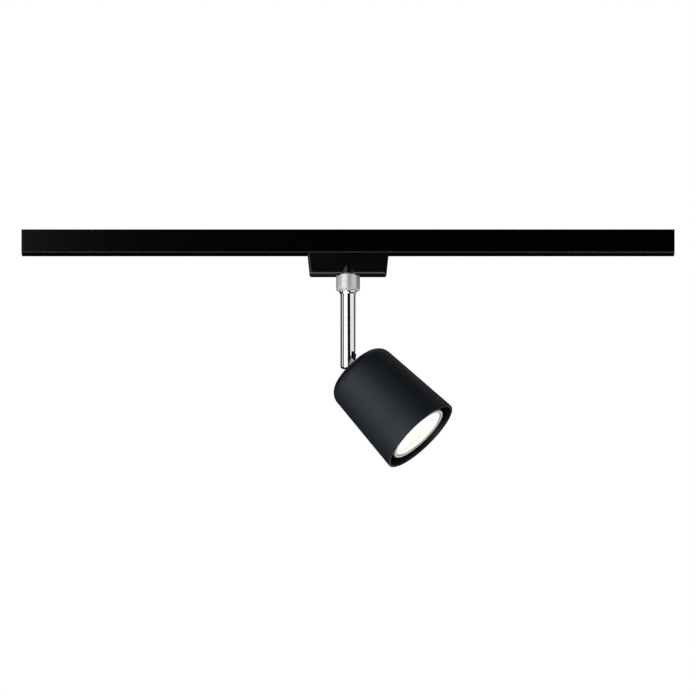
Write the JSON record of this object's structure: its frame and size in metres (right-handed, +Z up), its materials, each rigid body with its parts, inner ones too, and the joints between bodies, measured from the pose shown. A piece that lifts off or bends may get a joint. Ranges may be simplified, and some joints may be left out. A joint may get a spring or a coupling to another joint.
{
  "type": "track spotlight",
  "caption": "Ceiling track section with a sliding adapter, a swivelling chrome stem and a tilting conical spotlight head with a twist-lock reflector lamp.",
  "frame": {"origin": "centre of the track's top face, the face that lies on the ceiling", "axes": "+X along the track, +Z up into the ceiling, the lamp head leans towards +X and -Y"},
  "size_m": [0.5, 0.0726, 0.1825],
  "materials": {
    "black_anodised": "satin black powder coat",
    "insulator_pvc": "matte grey extruded plastic",
    "copper": "bright copper strip",
    "end_cap_plastic": "satin black moulding",
    "adapter_plastic": "semi-gloss black moulding",
    "carrier_plastic": "matte black moulding",
    "thumb_plastic": "matte black, ribbed thumb tab",
    "terminal_plastic": "white terminal block",
    "zinc_steel": "zinc plated",
    "spring_steel": "drawn wire",
    "nickel_brass": "turned, machined thread",
    "satin_aluminium": "satin turned, fine grip serrations",
    "nylon": "natural nylon",
    "chrome": "mirror chrome plated tube",
    "lead_sheath": "white silicone sheath",
    "shade_black": "fine matte black powder coat",
    "bracket_steel": "grey zinc sheet",
    "ceramic": "unglazed steatite",
    "lamp_white": "white moulded lamp base",
    "lamp_silver": "satin silver lamp body",
    "bezel_silver": "satin silver rim",
    "lens": "frosted diffuser, lit warm white",
    "board_white": "white solder mask",
    "board_green": "green circuit board",
    "led_yellow": "phosphor coated"
  },
  "bodies": {
    "track": {"track_profile": "black_anodised", "insulator_front": "insulator_pvc", "insulator_rear": "insulator_pvc", "live_conductor": "copper", "neutral_conductor": "copper", "end_cap_left": "end_cap_plastic", "end_cap_right": "end_cap_plastic"},
    "adapter": {"adapter_housing": "adapter_plastic", "contact_head": "carrier_plastic", "live_contact": "copper", "neutral_contact": "copper", "earth_contact": "copper", "terminal_block": "terminal_plastic", "terminal_screws": "zinc_steel", "cover_screws": "zinc_steel", "swivel_nipple": "nickel_brass", "stop_pin": "zinc_steel", "adapter_lead": "lead_sheath", "lock_spring": "spring_steel"},
    "lock": {"lock_slider": "thumb_plastic"},
    "collar": {"collar_nut": "satin_aluminium", "collar_ferrule": "chrome", "clamp_washer": "nylon"},
    "stem": {"stem": "chrome", "tilt_screw": "zinc_steel", "stem_lead": "lead_sheath"},
    "head": {"shade": "shade_black", "hinge_bracket": "bracket_steel", "tilt_washers": "nylon", "bracket_screws": "zinc_steel", "holder_bracket": "bracket_steel", "holder_screws": "zinc_steel", "lampholder": "ceramic", "holder_contacts": "copper", "head_lead": "lead_sheath"},
    "lamp": {"lamp_base": "lamp_white", "lamp_pins": "nickel_brass", "lamp_body": "lamp_silver", "lamp_bezel": "bezel_silver", "lamp_lens": "lens", "led_board": "board_white", "led_chips": "led_yellow", "driver_board": "board_green"}
  },
  "joints": [
    {"name": "track_slide", "type": "slide", "parent": "track", "child": "adapter", "axis": [1, 0, 0], "range_m": [-0.208, 0.208]},
    {"name": "lock_release", "type": "slide", "parent": "adapter", "child": "lock", "axis": [0, 0, -1], "range_m": [0, 0.003], "stiffness_N_per_m": 500, "springref_m": -0.002, "deforming": ["lock_spring"]},
    {"name": "collar_turn", "type": "hinge", "parent": "adapter", "child": "collar", "pos_m": [0, 0, -0.04], "axis": [0, 0, -1], "range_deg": [0, 120]},
    {"name": "swivel", "type": "hinge", "parent": "adapter", "child": "stem", "pos_m": [0, 0, -0.042], "axis": [0, 0, 1], "range_deg": [-148.4, 181.6]},
    {"name": "tilt", "type": "hinge", "parent": "stem", "child": "head", "pos_m": [0, 0, -0.1006], "axis": [-0.2857, -0.9583, 0], "range_deg": [-44.5, 45.5]},
    {"name": "lamp_twist", "type": "hinge", "parent": "head", "child": "lamp", "pos_m": [0, 0, -0.1006], "axis": [-0.6717, 0.2002, 0.7133], "range_deg": [0, 30]}
  ]
}
